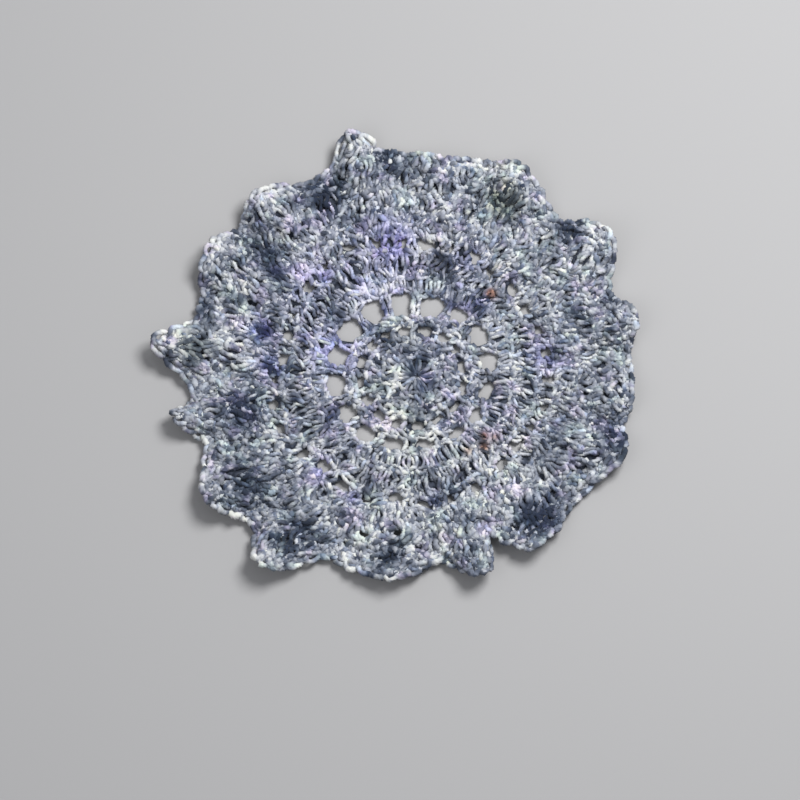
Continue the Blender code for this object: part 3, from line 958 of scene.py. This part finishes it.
class Nodes:
    """A new material and helpers that add and link its shader nodes."""

    def __init__(self, name):
        self.material = bpy.data.materials.new(name)
        self.material.use_nodes = True
        self.tree = self.material.node_tree

    def wire(self, node, inputs):
        """Links the node's inputs to outputs, or gives them constants."""
        for name, value in inputs.items():
            if isinstance(value, bpy.types.NodeSocket):
                self.tree.links.new(value, node.inputs[name])
            else:
                node.inputs[name].default_value = value

    def add(self, kind, inputs, output=0, **settings):
        """Adds a node with these inputs and gives one of its outputs."""
        node = self.tree.nodes.new("ShaderNode" + kind)
        for name, value in settings.items():
            setattr(node, name, value)
        self.wire(node, inputs)
        return node.outputs[output]

    def math(self, operation, a, b=0.0, clamp=False):
        return self.add("Math", {0: a, 1: b}, operation=operation, use_clamp=clamp)

    def times(self, a, b, clamp=False):
        return self.math("MULTIPLY", a, b, clamp)

    def mix(self, share, a, b):
        return self.add("Mix", {"Factor": share, "A": a, "B": b}, "Result", data_type="RGBA")

    def steps(self, value, low, high, to_low=0.0, to_high=1.0):
        inputs = {"Value": value, "From Min": low, "From Max": high, "To Min": to_low, "To Max": to_high}
        return self.add("MapRange", inputs, "Result", interpolation_type="SMOOTHSTEP")

    def noise(self, vector, scale, detail, seed):
        inputs = {"Vector": vector, "W": seed, "Scale": scale, "Detail": detail}
        return self.add("TexNoise", inputs, "Fac", noise_dimensions="4D")

    def ramp(self, value, shades):
        """The colour at a value that runs through the shades."""
        output = self.add("ValToRGB", {0: value})
        marks = output.node.color_ramp.elements
        while len(marks) < len(shades):
            marks.new(0.5)
        for mark, (start, *rgb) in zip(marks, shades):
            mark.position = start
            mark.color = colour(rgb)
        return output

    def shade(self, base, share):
        """The colour made darker by a share."""
        return self.add("VectorMath", {0: base, "Scale": share}, operation="SCALE")

    def surface(self, bump=None, **inputs):
        """The finished material. bump is height, strength and distance, and names have _ for a space."""
        if bump:
            inputs["Normal"] = self.add("Bump", dict(zip(("Height", "Strength", "Distance"), bump)))
        named = {name.replace("_", " "): value for name, value in inputs.items()}
        self.wire(self.tree.nodes["Principled BSDF"], named)
        return self.material


def colour(rgb):
    return (*rgb, 1.0)


# The yarn's colours from dark to light: the level of the dye where each starts, then red, green and blue.
SHADES = (
    (0.425, 0.042, 0.053, 0.08),
    (0.487, 0.125, 0.144, 0.188),
    (0.543, 0.295, 0.315, 0.366),
    (0.593, 0.520, 0.538, 0.572),
    (0.655, 0.740, 0.750, 0.725),
)
DYE_START = -0.22  # level of the dye before its noises are added
DARKEST_PATCH = 0.06  # how much a full dark patch, partly painted shade, takes from the level
OWN_DYE = 0.28  # share of a ply's own noise in its level

# Tints, which multiply the shade under them.
LILAC = (0.86, 0.80, 1.24)
BLUE = (0.86, 0.95, 1.10)
WARM = (1.03, 1.02, 0.95)
OLIVE = (1.04, 1.05, 0.84)
GREEN = (0.94, 1.02, 0.97)
MAUVE = (1.03, 0.94, 1.08)
RUST = (0.66, 0.36, 0.25)
# Navy where the dark tint is, which is partly darker dye and partly painted shade.
NAVY_DYE_AND_SHADE = (0.52, 0.59, 0.66)

PAINTED_DEEP_SHADE = (0.030, 0.039, 0.058)  # painted shade: colour of the yarn deep in the cloth, where it would lie in shade
# Painted shade: the ground's dark top shows as the shade in the gaps between the stitches.
GROUND_SHADE_DARK = (0.022, 0.027, 0.039)
GROUND_SHADE_LIGHT = (0.062, 0.072, 0.100)
FLOOR = (0.39, 0.388, 0.39)


def dye_and_shade_level(nodes, line, position, dark):
    """How far the dye takes both plies: it changes every few millimetres, in stretches and in pools, and the
    dark patches, partly painted shade, pull it down.
    """
    level = DYE_START
    for vector, scale, seed, share in (
        (line, 150.0, 1.0, 0.64),
        (line, 18.0, 4.0, 0.42),
        (position, 75.0, 51.0, 0.20),
    ):
        level = nodes.math("ADD", level, nodes.times(nodes.noise(vector, scale, 2.0, seed), share))
    return nodes.math("SUBTRACT", level, nodes.times(dark, DARKEST_PATCH))


def ply_colour(nodes, line, level, seed):
    """The colour of one ply, a little lighter or darker than the other in places."""
    own = nodes.noise(line, 190.0, 1.0, seed)
    return nodes.ramp(nodes.math("ADD", level, nodes.times(own, OWN_DYE)), SHADES)


def yarn_material():
    nodes = Nodes("marled yarn")
    along, about, _ = nodes.add("SeparateXYZ", {0: nodes.add("UVMap", {}, uv_map="yarn")}).node.outputs
    line = nodes.add("CombineXYZ", {0: along})
    position = nodes.add("TexCoord", {}, "Object")
    ply = nodes.math("COSINE", nodes.times(about, 2 * math.pi))
    off_groove = nodes.math("ABSOLUTE", ply)
    dye = nodes.add("Attribute", {}, "Vector", attribute_name="dye")
    lilac, dark, rust = nodes.add("SeparateXYZ", {0: dye}).node.outputs
    # A patch takes some stretches of the yarn more than others.
    taken = nodes.steps(nodes.noise(line, 50.0, 1.0, 41.0), 0.36, 0.60, 0.15, 1.55)
    dark = nodes.times(dark, taken)

    level = dye_and_shade_level(nodes, line, position, dark)
    one = ply_colour(nodes, line, level, 11.0)
    other = ply_colour(nodes, line, level, 21.0)
    base = nodes.mix(nodes.steps(ply, -0.12, 0.12), other, one)
    hue = nodes.noise(line, 60.0, 2.0, 31.0)
    pooled = nodes.noise(position, 110.0, 2.0, 61.0)
    for share, tint in (
        (nodes.steps(hue, 0.52, 0.66), BLUE),
        (nodes.steps(hue, 0.46, 0.34), WARM),
        (nodes.steps(pooled, 0.54, 0.66), MAUVE),
        (nodes.steps(pooled, 0.46, 0.34), GREEN),
        (nodes.times(nodes.steps(hue, 0.30, 0.55), lilac, clamp=True), LILAC),
        (nodes.times(lilac, -1.0, clamp=True), OLIVE),
        (nodes.times(rust, 1.0, clamp=True), RUST),
        (nodes.times(dark, 0.6, clamp=True), NAVY_DYE_AND_SHADE),
    ):
        tinted = nodes.add("VectorMath", {0: base, 1: tint}, operation="MULTIPLY")
        base = nodes.mix(share, base, tinted)

    # Painted shade: the groove between the plies and the yarn deep in the cloth are darkened in the colour,
    # where real yarn would lie in shade.
    base = nodes.shade(base, nodes.steps(off_groove, 0.0, 0.55, 0.93, 1.0))
    shown = nodes.steps(nodes.add("Attribute", {}, "Fac", attribute_name="shown"), -0.12, 1.05)

    # Fine fibres follow the twist.
    fibres = nodes.add("CombineXYZ", {0: nodes.times(along, 600.0), 1: nodes.times(about, 26.0)})
    fine = nodes.times(nodes.noise(fibres, 1.0, 3.0, 9.0), 0.3)
    height = nodes.math("ADD", fine, nodes.steps(off_groove, 0.0, 0.6))
    return nodes.surface(
        bump=(height, 0.3, 0.0004),
        Base_Color=nodes.mix(shown, colour(PAINTED_DEEP_SHADE), base),
        Roughness=0.85,
        Sheen_Weight=0.15,
        Sheen_Roughness=0.4,
        Specular_IOR_Level=0.25,
    )


def shaded_ground_material():
    nodes = Nodes("ground yarn")
    cells = nodes.noise(nodes.add("TexCoord", {}, "Object"), 420.0, 2.0, 2.0)
    # Painted shade: the top is dark where it shows between the stitches, and the underside is the yarn's
    # shades darkened.
    top = nodes.mix(nodes.steps(cells, 0.35, 0.65), colour(GROUND_SHADE_DARK), colour(GROUND_SHADE_LIGHT))
    underside = nodes.shade(nodes.ramp(cells, SHADES), 0.6)
    return nodes.surface(
        bump=(cells, 0.6, 0.0006),
        Base_Color=nodes.mix(nodes.add("Attribute", {}, "Fac", attribute_name="under"), top, underside),
        Roughness=0.9,
        Specular_IOR_Level=0.1,
    )


# --- The scene ---


def add_object(name, data):
    made = bpy.data.objects.new(name, data)
    bpy.context.scene.collection.objects.link(made)
    return made


def build_doily():
    mesh, area = ground_mesh()
    mesh.materials.append(shaded_ground_material())
    ground = add_object("ground", mesh)
    yarn = yarn_material()
    used = 0.0
    rounds = []
    for seed, this in enumerate(ROUNDS):
        draw = np.random.default_rng(seed)
        mesh, length = yarn_mesh(this.name, route(this.elements(), draw, this.wander), used, draw)
        mesh.materials.append(yarn)
        used += length
        rounds.append(add_object(this.name, mesh))
    for piece in [ground] + rounds:
        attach(piece, "root")
    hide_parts("doily")


def build_floor():
    half = 1.5
    corners = [(-half, -half, 0), (half, -half, 0), (half, half, 0), (-half, half, 0)]
    mesh = bpy.data.meshes.new("floor")
    mesh.from_pydata(corners, [], [(0, 1, 2, 3)])
    mesh.materials.append(Nodes("pale floor").surface(Base_Color=colour(FLOOR), Roughness=0.8))
    add_object("floor", mesh)


def add_aimed(name, data, start, target):
    """An object at the start that looks at the target."""
    made = add_object(name, data)
    made.location = start
    made.rotation_euler = (target - start).to_track_quat("-Z", "Y").to_euler()
    return made


def build_lights():
    world = bpy.data.worlds.new("studio")
    bpy.context.scene.world = world
    world.use_nodes = True
    background = world.node_tree.nodes["Background"]
    background.inputs["Color"].default_value = (0.92, 0.94, 1.0, 1.0)
    background.inputs["Strength"].default_value = 0.34
    for name, start, size, power in (
        ("key light", (0.50, 0.42, 1.05), 0.60, 17.1),
        ("fill light", (-0.9, -0.6, 1.2), 1.20, 4.0),
    ):
        light = bpy.data.lights.new(name, "AREA")
        light.shape = "DISK"
        light.size = size
        light.energy = power
        add_aimed(name, light, Vector(start), Vector())


CAMERA_HEIGHT = math.radians(73.5)  # as an angle
CAMERA_DISTANCE = 3.0
VIEW_WIDTH = 0.4  # of what the picture shows at that distance


def build_camera():
    """A long lens that looks down steeply."""
    camera = bpy.data.cameras.new("camera")
    camera.sensor_width = 36.0
    camera.lens = camera.sensor_width * CAMERA_DISTANCE / VIEW_WIDTH
    camera.clip_end = 20.0
    aim = Vector((1.15, -20.5, 0.0)) * MM
    away = Vector((0.0, -math.cos(CAMERA_HEIGHT), math.sin(CAMERA_HEIGHT)))
    bpy.context.scene.camera = add_aimed("camera", camera, aim + away * CAMERA_DISTANCE, aim)


build_doily()
build_floor()
build_lights()
build_camera()
bpy.context.scene.view_settings.view_transform = "Standard"
